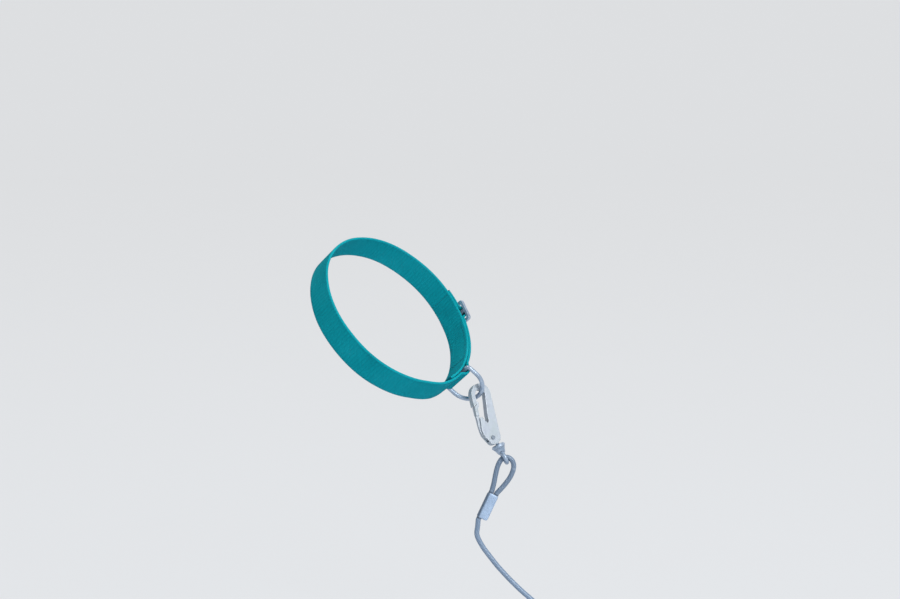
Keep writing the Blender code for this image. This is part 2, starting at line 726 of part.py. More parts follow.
def add_line(collection, parent, rope_material, ferrule_material):
    """Add the wire rope line: an eye in the swivel, its ferrule, the rope, and the far eye."""
    near = ferrule_frame(in_line(FERRULE_TOP), FERRULE_TILT)
    add_ferrule(collection, "ferrule", parent, near, ferrule_material)
    route = [in_line(point) for point in EYE_ROUTE]
    add_tube(collection, "rope_eye", eye_line(near, route), ROPE_DIAMETER, parent, rope_material)
    foot = Vector((-STRAND_SPACING / 2, 0.0, -FERRULE_LENGTH - SEAT_GAP))
    below_foot = foot - Vector((0.0, 0.0, END_LEAD))
    end = in_line(ROPE_END)
    far = Matrix.Rotation(math.radians(180), 4, "Y") @ ferrule_frame(Vector(), FAR_FERRULE_TILT)
    far.translation = end - far.to_3x3() @ foot
    middle = [in_line(point) for point in ROPE_ROUTE]
    rope = smooth_line([near @ below_foot, *middle, far @ below_foot], ROPE_STEP)
    add_tube(collection, "line_rope", [near @ foot, *rope, end], ROPE_DIAMETER, parent, rope_material)
    add_ferrule(collection, "far_ferrule", parent, far, ferrule_material)
    move = far @ near.inverted()
    far_route = [move @ point for point in route]
    add_tube(collection, "far_eye", eye_line(far, far_route), ROPE_DIAMETER, parent, rope_material)


def build():
    """Build the whole object."""
    clear_scene()
    parts = make_collection("sled_dog_collar")
    cutters = make_collection("cutters")
    webbing = make_material("webbing_teal", (0.004, 0.25, 0.31), 0.75, 0.0)
    nickel = make_material("nickel_plate", (0.62, 0.62, 0.60), 0.35, 1.0)
    zinc = make_material("cast_zinc", (0.62, 0.61, 0.56), 0.45, 1.0)
    aluminium = make_material("pressed_aluminium", (0.68, 0.70, 0.72), 0.4, 1.0)
    coating = make_material("coated_rope", (0.30, 0.34, 0.38), 0.35, 0.3)

    collar = add_empty(parts, "collar_body", collar_frame())
    add_collar_band(parts, collar, webbing)
    face_out = Matrix.Rotation(math.radians(90), 4, "Z")
    slide_place = collar.matrix_world @ place_on_collar(SLIDE_ANGLE, slide_radius()) @ face_out
    slide_holder = add_empty(parts, "slide_holder", slide_place)
    add_slide(parts, cutters, slide_holder, nickel)

    ring_place = collar.matrix_world @ place_on_collar(RING_ANGLE, ring_radius())
    ring = add_empty(parts, "ring_body", ring_place)
    add_ring(parts, ring, nickel)

    bow = ring.matrix_world @ Vector((ring_reach(), 0.0, 0.0))
    snap = add_empty(parts, "snap_frame", hanging_frame(bow, SNAP_SWING, SNAP_LEAN, SNAP_TURN))
    add_snap_body(parts, cutters, snap, zinc)
    add_gate(parts, cutters, snap, zinc)
    add_rivet(parts, snap, nickel)

    foot = snap.matrix_world @ swivel_place()
    up = snap.matrix_world.to_3x3() @ swivel_axis_in_snap()
    away = Vector((0.0, 1.0, 0.0))
    away = (away - away.dot(up) * up).normalized()
    swivel = add_empty(parts, "swivel_body", frame_of(foot, away.cross(up), away, up))
    add_swivel(parts, cutters, swivel, nickel)

    hang = swivel.matrix_world @ Vector((0.0, 0.0, -eye_foot_depth()))
    line = add_empty(parts, "line_body", hanging_frame(hang, 0.0, LINE_LEAN))
    add_line(parts, line, coating, aluminium)
    cutters.hide_render = True


build()
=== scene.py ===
"""Scene of a sled dog's webbing collar with its swivel snap and wire rope neck line.

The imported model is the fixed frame. The woven webbing, its seams, the wire rope and the pressed
ferrules are modelled here. Every metal solid is taken over as a fine, soft-edged copy that keeps
its form and shows the wear on its edges.
"""

import json
import logging
import math
from dataclasses import dataclass, field
from enum import Enum
from functools import partial
from typing import Any, Callable, Sequence

import bpy
import numpy as np
from mathutils import Matrix, Vector


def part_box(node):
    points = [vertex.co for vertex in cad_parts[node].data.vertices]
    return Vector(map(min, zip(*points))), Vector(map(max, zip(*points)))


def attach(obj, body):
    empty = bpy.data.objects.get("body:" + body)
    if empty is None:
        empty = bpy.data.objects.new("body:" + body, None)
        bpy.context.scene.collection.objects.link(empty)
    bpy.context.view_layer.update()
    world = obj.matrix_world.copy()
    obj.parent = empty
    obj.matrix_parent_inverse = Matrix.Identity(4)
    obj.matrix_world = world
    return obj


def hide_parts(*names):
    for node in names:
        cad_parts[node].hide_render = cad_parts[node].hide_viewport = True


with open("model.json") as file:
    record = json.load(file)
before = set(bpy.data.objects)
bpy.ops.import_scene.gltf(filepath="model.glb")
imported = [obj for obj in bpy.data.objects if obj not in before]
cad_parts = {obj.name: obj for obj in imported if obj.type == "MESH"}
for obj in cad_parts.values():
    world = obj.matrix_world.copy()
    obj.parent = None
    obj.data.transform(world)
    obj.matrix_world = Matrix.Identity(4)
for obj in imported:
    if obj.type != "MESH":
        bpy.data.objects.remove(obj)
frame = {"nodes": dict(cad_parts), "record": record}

MM = 0.001
MERGE = 0.001 * MM
SEAM_MERGE = 0.01 * MM
CURVE_STEPS = 24
SKIN_SCALE = 3.2 * MM
EDGE_LAYER = "stand"
# layer that paints shade along one side of a ferrule
SIDE_SHADE_LAYER = "dull"
EDGE_GAIN = 4.5
EDGE_ROUNDS = 3
PARTING_WIDTH = 0.32 * MM
PARTING_HEIGHT = 0.1 * MM
LOG = logging.getLogger("scene")

Piece = bpy.types.Object
Socket = bpy.types.NodeSocket
Point = tuple[float, float]
Colour = tuple[float, float, float]
Pair = tuple[np.ndarray, np.ndarray]


class Body(Enum):
    """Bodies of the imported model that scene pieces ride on."""

    COLLAR = "collar"
    RING = "ring"
    SNAP = "snap"
    GATE = "gate"
    SWIVEL = "swivel"
    LINE = "line"


# Small geometry helpers


def frame_of(origin: Vector, right: Vector, away: Vector, up: Vector) -> Matrix:
    """Give the frame that lies at origin, with right, away and up as its x, y and z axes."""
    return Matrix.Translation(origin) @ Matrix((right, away, up)).transposed().to_4x4()


def ease(value: float) -> float:
    """Give the smooth step at a share, which may lie outside 0 to 1."""
    value = min(1.0, max(0.0, value))
    return value * value * (3 - 2 * value)


def smooth_line(route: Sequence[Point], step: float) -> list[Point]:
    """Draw a smooth line through a route.

    Args:
        route: Points that the line passes through.
        step: Distance between the returned points.

    Returns:
        Points a step apart along the line, both ends included.
    """
    knots = [Vector(point) for point in route]
    padded = [2 * knots[0] - knots[1], *knots, 2 * knots[-1] - knots[-2]]
    fine = []
    for before, start, end, after in zip(padded, padded[1:], padded[2:], padded[3:]):
        for index in range(CURVE_STEPS):
            t = index / CURVE_STEPS
            pull = (end - before) * t
            curl = (2 * before - 5 * start + 4 * end - after) * t * t
            twist = (3 * start - before - 3 * end + after) * t * t * t
            fine.append(0.5 * (2 * start + pull + curl + twist))
    fine.append(knots[-1])
    places = np.array([tuple(point) for point in fine])
    along = np.concatenate([[0.0], np.cumsum(np.linalg.norm(np.diff(places, axis=0), axis=1))])
    wanted = np.linspace(0.0, along[-1], max(2, round(along[-1] / step)) + 1)
    x, y = (np.interp(wanted, along, places[:, axis]).tolist() for axis in (0, 1))
    return list(zip(x, y))


# Object and mesh helpers


def put(target: Any, **settings: object) -> Any:
    """Set several properties of one thing.

    Args:
        target: A node, modifier or data block.
        **settings: The values by property name, set in this order.

    Returns:
        The same thing.
    """
    for key, value in settings.items():
        setattr(target, key, value)
    return target


def add_object(name: str, data: bpy.types.ID) -> Piece:
    """Add an object to the scene.

    Args:
        name: Its name.
        data: Its mesh, curve, camera or light.

    Returns:
        The object.
    """
    obj = bpy.data.objects.new(name, data)
    bpy.context.scene.collection.objects.link(obj)
    return obj


def make_active(obj: Piece) -> None:
    """Select one object alone.

    Args:
        obj: The object.
    """
    bpy.ops.object.select_all(action="DESELECT")
    obj.select_set(True)
    bpy.context.view_layer.objects.active = obj


def apply_all(obj: Piece) -> None:
    """Apply an object's modifiers in order.

    Args:
        obj: The object.
    """
    make_active(obj)
    for modifier in list(obj.modifiers):
        bpy.ops.object.modifier_apply(modifier=modifier.name)


def edit_whole(obj: Piece, *steps: Callable[[], object]) -> None:
    """Edit a mesh with all of it selected at each step.

    Args:
        obj: The mesh object.
        *steps: The mesh operators, in order.
    """
    make_active(obj)
    bpy.ops.object.mode_set(mode="EDIT")
    for step in steps:
        bpy.ops.mesh.select_all(action="SELECT")
        step()
    bpy.ops.object.mode_set(mode="OBJECT")


def add_solid(add: Callable, scale: tuple = (1, 1, 1), place: tuple = (0, 0, 0), **shape: object) -> Piece:
    """Add a primitive with its size and place taken into the mesh.

    Args:
        add: The operator that adds it.
        scale: Its size along its own axes.
        place: Where its middle lies.
        **shape: The operator's settings.

    Returns:
        The primitive.
    """
    bpy.ops.object.select_all(action="DESELECT")
    add(**shape)
    solid = put(bpy.context.active_object, scale=scale, location=place)
    bpy.ops.object.transform_apply()
    return solid


def bend_along(obj: Piece, points: Sequence[Point], matrix: Matrix, crisp: float) -> Piece:
    """Bend a piece along a flat line and leave it as a plain mesh at the origin.

    Args:
        obj: The piece, drawn along x.
        points: The line, in the x and y of its frame.
        matrix: The frame.
        crisp: Edges sharper than this many degrees aren't shaded smooth.

    Returns:
        The same piece.
    """
    data = put(bpy.data.curves.new("guide", "CURVE"), dimensions="3D", twist_mode="Z_UP")
    spline = data.splines.new("POLY")
    spline.points.add(len(points) - 1)
    for knot, point in zip(spline.points, points):
        knot.co = (*point, 0.0, 1.0)
    guide = put(add_object("guide", data), matrix_world=matrix)
    bpy.context.view_layer.update()
    obj.matrix_world = guide.matrix_world.copy()
    put(obj.modifiers.new("along", "CURVE"), object=guide, deform_axis="POS_X")
    apply_all(obj)
    bpy.ops.object.transform_apply()
    bpy.ops.object.shade_smooth_by_angle(angle=math.radians(crisp))
    bpy.data.objects.remove(guide)
    return obj


def corners_of(obj: Piece) -> Pair:
    """Read a mesh's corners.

    Args:
        obj: The piece.

    Returns:
        The places and the normals of its vertices.
    """
    mesh = obj.data
    corners = np.empty((2, len(mesh.vertices) * 3), np.float32)
    mesh.vertices.foreach_get("co", corners[0])
    mesh.vertex_normals.foreach_get("vector", corners[1])
    return corners[0].reshape(-1, 3), corners[1].reshape(-1, 3)


def add_sleeve(name: str, length: float, steps: int, around: int, section: Callable[..., Pair]) -> Piece:
    """Roll a grid up into a closed sleeve along x, so that its UV map runs along and round it.

    Args:
        name: The sleeve's name.
        length: How far it runs from 0.
        steps: Faces along it.
        around: Faces round it.
        section: Gives y and z from the distances along and the shares of the way round.

    Returns:
        The sleeve, with both ends filled.
    """
    sleeve = add_solid(bpy.ops.mesh.primitive_grid_add, x_subdivisions=steps, y_subdivisions=around, size=1.0)
    sleeve.name = name
    flat = corners_of(sleeve)[0].astype(float)
    along = (flat[:, 0] + 0.5) * length
    y, z = section(along, flat[:, 1] + 0.5)
    sleeve.data.vertices.foreach_set("co", np.stack([along, y, z], axis=1).ravel())
    edit_whole(
        sleeve,
        partial(bpy.ops.mesh.remove_doubles, threshold=SEAM_MERGE),
        partial(bpy.ops.mesh.fill_holes, sides=0),
        partial(bpy.ops.mesh.normals_make_consistent, inside=False),
    )
    return sleeve


def even_out(obj: Piece, voxel: float, rounds: int, swell: float) -> None:
    """Rebuild a metal piece as a fine even mesh with soft edges and a slightly uneven skin.

    Args:
        obj: The closed piece.
        voxel: The size of the new mesh's faces.
        rounds: How often its edges are softened.
        swell: How far its skin stands in and out.
    """
    edit_whole(obj, partial(bpy.ops.mesh.remove_doubles, threshold=MERGE))
    put(obj.modifiers.new("even", "REMESH"), mode="VOXEL", voxel_size=voxel)
    put(obj.modifiers.new("soft", "SMOOTH"), iterations=rounds)
    if swell:
        clouds = put(bpy.data.textures.new(f"{obj.name}_skin", "CLOUDS"), noise_scale=SKIN_SCALE)
        put(obj.modifiers.new("skin", "DISPLACE"), texture=clouds, strength=swell, mid_level=1.0)
    apply_all(obj)
    bpy.ops.object.shade_smooth()


def write_layer(obj: Piece, name: str, values: np.ndarray) -> None:
    """Write one value for each vertex, kept from 0 to 1, as a layer that a finish reads."""
    layer = obj.data.attributes.new(name, "FLOAT", "POINT")
    layer.data.foreach_set("value", np.clip(values, 0.0, 1.0).astype(np.float32))


def note_edges(obj: Piece) -> None:
    """Note where a mesh stands out or lies in a recess, for the wear on its edges and the painted shade in
    its recesses.

    Args:
        obj: The piece, with an even mesh.
    """
    places, normals = corners_of(obj)
    pairs = np.empty(len(obj.data.edges) * 2, np.int32)
    obj.data.edges.foreach_get("vertices", pairs)
    first, second = pairs.reshape(-1, 2).T
    step = places[second] - places[first]
    step /= np.maximum(np.linalg.norm(step, axis=1, keepdims=True), MERGE)
    count = np.bincount(pairs, minlength=len(places))
    stand = np.zeros(len(places))
    np.add.at(stand, first, -(normals[first] * step).sum(axis=1))
    np.add.at(stand, second, (normals[second] * step).sum(axis=1))
    stand /= np.maximum(count, 1)
    for _ in range(EDGE_ROUNDS):
        total = stand.copy()
        np.add.at(total, first, stand[second])
        np.add.at(total, second, stand[first])
        stand = total / (count + 1)
    write_layer(obj, EDGE_LAYER, 0.5 + EDGE_GAIN * stand)


def add_parting(obj: Piece, point: Vector, axis: Vector) -> None:
    """Raise the thin line that the two halves of a mould leave round a casting.

    Args:
        obj: The casting.
        point: A point of the plane where the halves met.
        axis: That plane's normal.
    """
    places, normals = corners_of(obj)
    off = np.abs((places - np.array(point)) @ np.array(axis))
    upright = 1.0 - np.abs(normals @ np.array(axis))
    ridge = np.clip(1.0 - off / PARTING_WIDTH, 0.0, 1.0) * np.clip(upright * 2.0 - 1.0, 0.0, 1.0)
    obj.data.vertices.foreach_set("co", (places + normals * (PARTING_HEIGHT * ridge)[:, None]).ravel())
    obj.data.update()


# Node helpers


class Sheet:
    """The node tree of a material or world, with short calls for the nodes that the finishes share."""

    def __init__(self, owner: bpy.types.ID, shader: str = "Principled BSDF") -> None:
        """Start a node tree.

        Args:
            owner: The material or world.
            shader: The name of the shader that its tree starts with.
        """
        owner.use_nodes = True
        self.owner = owner
        self.tree = owner.node_tree
        self.shader = self.tree.nodes[shader]

    def plug(self, value: object, socket: Socket) -> None:
        """Link a socket or write a plain value.

        Args:
            value: An output socket, a number or a colour.
            socket: The input that takes it.
        """
        if isinstance(value, Socket):
            self.tree.links.new(value, socket)
        else:
            socket.default_value = (*value, 1.0) if socket.type == "RGBA" else value

    def add(self, kind: str, inputs: dict | None = None, **settings: object) -> bpy.types.Node:
        """Add a node.

        Args:
            kind: The last part of its type.
            inputs: Values or sockets by the name or number of its input.
            **settings: Values of its own properties.

        Returns:
            The node.
        """
        node = put(self.tree.nodes.new(f"ShaderNode{kind}"), **settings)
        for key, value in (inputs or {}).items():
            self.plug(value, node.inputs[key])
        return node

    def math(self, operation: str, first: object, second: object = 0.0, clamp: bool = False) -> Socket:
        """Give the result of a Math node, kept from 0 to 1 if it is clamped."""
        return self.add("Math", {0: first, 1: second}, operation=operation, use_clamp=clamp).outputs[0]

    def times(self, first: object, second: object) -> Socket:
        """Multiply two values."""
        return self.math("MULTIPLY", first, second)

    def wave(self, along: object, pitch: float) -> Socket:
        """Give rounded ridges at a pitch, 0 in their grooves and 1 on their tops."""
        return self.math("ABSOLUTE", self.math("SINE", self.times(along, math.pi / pitch)))

    def noise(self, scale: float, detail: float = 3.0, stretch: tuple = (1.0, 1.0, 1.0)) -> Socket:
        """Give noise in object space: its scale is per metre, and stretch refines it along an axis."""
        place = self.add("Mapping", {0: self.add("TexCoord").outputs["Object"], "Scale": stretch}).outputs[0]
        return self.add("TexNoise", {"Vector": place, "Scale": scale, "Detail": detail}).outputs["Fac"]

    def spread(self, value: object, low: float, high: float, start: float = 0.0, end: float = 1.0) -> Socket:
        """Stretch a value smoothly so that low becomes start and high becomes end, and clamp it there."""
        span = {"Value": value, "From Min": low, "From Max": high, "To Min": start, "To Max": end}
        return self.add("MapRange", span, interpolation_type="SMOOTHSTEP").outputs["Result"]

    def layers(self, colour: object, *coats: tuple[object, object]) -> Socket:
        """Lay coats over a colour.

        Args:
            colour: The colour.
            *coats: Each coat's share and colour, from the lowest up.

        Returns:
            The mixed colour.
        """
        for share, coat in coats:
            mixed = self.add("Mix", {"Factor": share, "A": colour, "B": coat}, data_type="RGBA")
            colour = mixed.outputs["Result"]
        return colour

    def bumps(self, *reliefs: tuple[object, float]) -> Socket:
        """Lay bumps over each other.

        Args:
            *reliefs: Each one's height, from 0 to 1, and its depth in metres, the coarsest first.

        Returns:
            The normal.
        """
        under = {}
        for height, depth in reliefs:
            node = self.add("Bump", {"Distance": depth, "Height": height, **under})
            under = {"Normal": node.outputs["Normal"]}
        return under["Normal"]

    def along_and_round(self, length: float, girth: float) -> tuple[Socket, Socket]:
        """Give the distances along and round a rolled piece of that length and girth from its UV map."""
        split = self.add("SeparateXYZ", {0: self.add("UVMap", uv_map="UVMap").outputs["UV"]}).outputs
        return self.times(split[0], length), self.times(split[1], girth)

    def finish(self, **inputs: object) -> bpy.types.ID:
        """Set the shader's inputs.

        Args:
            **inputs: Values or sockets by input name, with _ for a space.

        Returns:
            The finished material or world.
        """
        for name, value in inputs.items():
            self.plug(value, self.shader.inputs[name.replace("_", " ")])
        return self.owner


@dataclass(frozen=True)
class WebbingFinish:
    """Woven polyester webbing: ribs across it, fine yarns along it, a tight selvedge and sealed ends, with
    painted shade in its grooves.
    """

    length: float
    girth: float
    face: float
    rib: float
    selvedge: float
    colour: Colour = (0.0018, 0.370, 0.425)
    # shade is the colour of the painted shade in the weave's grooves; it also colours dark patches and the
    # sealed ends
    shade: Colour = (0.0012, 0.150, 0.200)
    faded: Colour = (0.010, 0.460, 0.530)
    frost: Colour = (0.40, 0.60, 0.66)
    yarn: float = 0.78 * MM
    ply: float = 0.21 * MM
    ply_lean: float = 0.35
    stagger: float = 0.34 * MM
    seal: float = 1.1 * MM

    def material(self) -> bpy.types.Material:
        """Build the material.

        Returns:
            The finished material.
        """
        s = Sheet(bpy.data.materials.new("webbing_weave"))
        along, round_it = s.along_and_round(self.length, self.girth)
        odd = s.math("MODULO", s.math("FLOOR", s.math("DIVIDE", round_it, self.yarn)), 2.0)
        rows = s.wave(s.math("ADD", along, s.times(odd, self.stagger)), self.rib)
        yarns = s.wave(round_it, self.yarn)
        plies = s.wave(s.math("SUBTRACT", round_it, s.times(along, self.ply_lean)), self.ply)
        shift = (self.girth - self.face) / 2
        off_middle = s.math("PINGPONG", s.math("ADD", round_it, shift), self.girth / 4)
        edge = s.spread(off_middle, self.selvedge, self.selvedge + 0.25 * MM)
        # the groove beside the selvedge, darkened through the weave below: painted shade
        seam = s.math("SUBTRACT", off_middle, self.selvedge - 0.1 * MM)
        seam = s.spread(s.math("ABSOLUTE", seam), 0.08 * MM, 0.32 * MM, 1.0, 0.0)
        weave = s.times(s.spread(rows, 0.0, 0.8, 0.48), s.spread(yarns, 0.0, 0.7, 0.6))
        weave = s.times(weave, s.spread(seam, 0.0, 1.0, 1.0, 0.45))
        to_end = s.math("MINIMUM", along, s.math("SUBTRACT", self.length, along))
        sealed = s.spread(to_end, 0.5 * self.seal, self.seal, 1.0, 0.0)
        patches = s.noise(24.0)
        specks = s.noise(900.0)
        fuzz = s.noise(2600.0, 2.0)
        colour = s.layers(
            self.shade,
            # painted shade: the weave's grooves between rows and yarns and along the seam take the shade
            # colour
            (s.spread(weave, 0.1, 0.7, 0.25), self.colour),
            (s.spread(patches, 0.42, 0.70, 0.0, 0.35), self.faded),
            (s.times(edge, 0.25), self.faded),
            (s.spread(patches, 0.28, 0.42, 0.25, 0.0), self.shade),
            (s.times(s.spread(specks, 0.62, 0.74), s.spread(patches, 0.5, 0.7, 0.02, 0.22)), self.frost),
            (sealed, self.shade),
        )
        normal = s.bumps((weave, 0.10 * MM), (s.times(plies, weave), 0.035 * MM), (fuzz, 0.02 * MM))
        rough = s.spread(sealed, 0.0, 1.0, 0.86, 0.42)
        return s.finish(Base_Color=colour, Roughness=rough, Normal=normal, Specular_IOR_Level=0.1)


@dataclass(frozen=True)
class ThreadFinish:
    """Sewing thread: a dark teal twisted yarn."""

    colour: Colour = (0.002, 0.115, 0.145)
    lift: float = 1.6

    def material(self) -> bpy.types.Material:
        """Build the material.

        Returns:
            The finished material.
        """
        s = Sheet(bpy.data.materials.new("thread_twist"))
        twist = s.noise(2600.0, 2.0, (1.0, 0.5, 0.5))
        colour = s.layers(self.colour, (s.spread(twist, 0.4, 0.6), tuple(self.lift * c for c in self.colour)))
        normal = s.bumps((twist, 0.05 * MM))
        return s.finish(Base_Color=colour, Roughness=0.62, Normal=normal, Specular_IOR_Level=0.2)


@dataclass(frozen=True)
class RopeFinish:
    """Coated wire rope: faint strands with painted shade in their grooves, grime and painted shadow at the
    ferrules.
    """

    name: str
    length: float
    lay: float
    strands: int
    grip: float
    tone: float = 1.0
    coat: Colour = (0.265, 0.355, 0.485)
    # the colour of the painted shade between the strands, also of darker rubbed patches
    groove_shade_and_rubs: Colour = (0.21, 0.29, 0.405)
    scuff: Colour = (0.42, 0.50, 0.60)
    grime_and_shade: Colour = (0.075, 0.10, 0.14)
    wires: int = 24
    fade: float = 1.7 * MM

    def material(self) -> bpy.types.Material:
        """Build the material.

        Returns:
            The finished material.
        """
        s = Sheet(bpy.data.materials.new(f"coated_{self.name}"))
        along, share = s.along_and_round(self.length, 1.0)
        turns = s.math("SUBTRACT", share, s.math("DIVIDE", along, self.lay))
        strand = s.wave(turns, 1.0 / self.strands)
        crossed = s.math("ADD", share, s.math("DIVIDE", along, self.lay / 3))
        wires = s.times(s.wave(crossed, 1.0 / self.wires), strand)
        scuffs = s.noise(300.0, 5.0)
        rubs = s.noise(85.0, 4.0)
        to_end = s.math("MINIMUM", along, s.math("SUBTRACT", self.length, along))
        # grime and painted shadow where the rope enters a ferrule
        grime_and_shadow_at_ends = s.spread(to_end, self.grip, self.grip + self.fade, 1.0, 0.0)
        coat, groove_shade_and_rubs = (tuple(self.tone * c for c in shade) for shade in (self.coat, self.groove_shade_and_rubs))
        colour = s.layers(
            groove_shade_and_rubs,
            # painted shade: between the strands the coat gives way to the darker groove colour
            (s.spread(strand, 0.05, 0.75), coat),
            (s.spread(wires, 0.3, 1.0, 0.0, 0.12), self.scuff),
            (s.spread(rubs, 0.52, 0.7, 0.0, 0.45), groove_shade_and_rubs),
            (s.spread(scuffs, 0.56, 0.7, 0.0, 0.4), self.scuff),
            (s.times(grime_and_shadow_at_ends, 0.85), self.grime_and_shade),
        )
        normal = s.bumps((wires, 0.012 * MM), (scuffs, 0.02 * MM))
        rough = s.spread(scuffs, 0.4, 0.7, 0.30, 0.48)
        return s.finish(
            Base_Color=colour, Metallic=0.1, Roughness=rough, Normal=normal, Specular_IOR_Level=0.35,
            Coat_Weight=0.25, Coat_Roughness=0.25,
        )


@dataclass(frozen=True)
class MetalFinish:
    """Worn metal: duller patches, grain, scratches, pits, bright edges, painted shade in recesses and on one
    side.
    """

    name: str
    colour: Colour
    dull: Colour
    bright: Colour
    grime_and_shade: Colour
    metallic: float
    smooth: float
    rough: float
    grain: float
    grain_depth: float
    # how strongly recesses take the grime colour: painted shade
    recess_shade: float = 0.75

    def material(self) -> bpy.types.Material:
        """Build the material.

        Returns:
            The finished material.
        """
        s = Sheet(bpy.data.materials.new(self.name))
        stand = s.add("Attribute", attribute_name=EDGE_LAYER).outputs["Fac"]
        # painted shade along one side of a ferrule, read from its layer
        dull = s.add("Attribute", attribute_name=SIDE_SHADE_LAYER).outputs["Fac"]
        patches = s.noise(130.0, 5.0)
        chips = s.noise(420.0, 4.0)
        grain = s.noise(self.grain, 4.0)
        scratches = s.noise(800.0, 2.0, (1.0, 1.0, 0.07))
        pits = s.noise(2100.0, 2.0)
        worn = s.math("ADD", stand, s.spread(chips, 0.35, 0.65, -0.14, 0.14))
        edge = s.spread(worn, 0.66, 0.86)
        recess = s.math("ADD", stand, s.spread(patches, 0.3, 0.7, -0.10, 0.10))
        colour = s.layers(
            self.colour,
            (s.spread(patches, 0.38, 0.66), self.dull),
            (s.spread(pits, 0.65, 0.76, 0.0, 0.5), self.grime_and_shade),
            (s.times(edge, 0.75), self.bright),
            # painted shade in the recesses
            (s.spread(recess, 0.30, 0.47, self.recess_shade, 0.0), self.grime_and_shade),
            # painted shade along the ferrule's one side
            (s.times(dull, s.spread(chips, 0.3, 0.7, 0.95, 0.75)), self.grime_and_shade),
        )
        rub = s.math("ADD", s.spread(patches, 0.35, 0.7, 0.0, 0.6), s.spread(scratches, 0.42, 0.6, 0.0, 0.4))
        rough = s.spread(s.math("SUBTRACT", rub, s.times(edge, 0.4)), 0.0, 1.0, self.smooth, self.rough)
        normal = s.bumps(
            (grain, self.grain_depth),
            (s.spread(scratches, 0.5, 0.7), 0.006 * MM),
            (s.spread(pits, 0.65, 0.76, 1.0, 0.0), 0.03 * MM),
        )
        return s.finish(Base_Color=colour, Metallic=self.metallic, Roughness=rough, Normal=normal)


ZINC = MetalFinish(
    "cast_zinc", (0.495, 0.540, 0.605), (0.475, 0.530, 0.565), (0.66, 0.70, 0.74), (0.10, 0.13, 0.17),
    0.3, 0.42, 0.56, 1500.0, 0.05 * MM, 0.4,
)
NICKEL = MetalFinish(
    "dull_nickel", (0.42, 0.51, 0.64), (0.31, 0.40, 0.52), (0.66, 0.73, 0.82), (0.07, 0.09, 0.13),
    0.5, 0.30, 0.48, 900.0, 0.03 * MM,
)
STEEL = MetalFinish(
    "rivet_steel", (0.27, 0.32, 0.38), (0.21, 0.25, 0.30), (0.44, 0.49, 0.55), (0.05, 0.065, 0.09),
    0.4, 0.36, 0.52, 900.0, 0.03 * MM,
)
ALUMINIUM = MetalFinish(
    "pressed_aluminium", (0.50, 0.64, 0.84), (0.42, 0.55, 0.74), (0.70, 0.81, 0.94), (0.10, 0.145, 0.21),
    0.2, 0.36, 0.50, 1100.0, 0.03 * MM,
)


def dress(obj: Piece, material: bpy.types.Material) -> None:
    """Give a piece one material.

    Args:
        obj: The piece.
        material: The material.
    """
    obj.data.materials.clear()
    obj.data.materials.append(material)
    obj.data.polygons.foreach_set("material_index", [0] * len(obj.data.polygons))


# The collar


@dataclass(frozen=True)
class CollarSize:
    """Sizes of the webbing strip and of the bars that it goes over; angles are in degrees."""

    rise: float = 41.0
    heading: float = -37.0
    radius: float = 75.0 * MM
    width: float = 25.4 * MM
    thickness: float = 2.2 * MM
    gap: float = 0.3 * MM
    start: float = 7.0
    lap_start: float = 340.0
    lap_end: float = 362.0
    angle_step: float = 0.4
    ring_angle: float = 26.4
    ring_wire: float = 4.0 * MM
    ring_flat: float = 1.6 * MM
    ring_reach: float = 10.0 * MM
    slide_angle: float = 78.0
    slide_thickness: float = 2.5 * MM
    slide_flat: float = 1.6 * MM
    slide_reach: float = 6.8 * MM
    tail: float = 17.0
    edge: float = 0.9 * MM
    rib: float = 3.06 * MM
    rib_depth: float = 0.15 * MM
    selvedge: float = 10.9 * MM
    steps_per_rib: int = 6
    faces_round: int = 56
    ripple: float = 0.05 * MM
    waver: float = 0.12 * MM
    row_stitches: int = 8
    row_pitch: float = 2.75 * MM
    row_offsets: Point = (9.6, 11.4)
    end_row: float = 2.4
    side_pitch: float = 2.9 * MM
    side_offset: float = 9.4 * MM
    side_start: float = 13.4
    side_end: float = 8.0
    stitch_length: float = 2.3 * MM
    stitch_width: float = 0.72 * MM
    stitch_sink: float = 0.24 * MM
    stitch_rise: float = -0.08 * MM


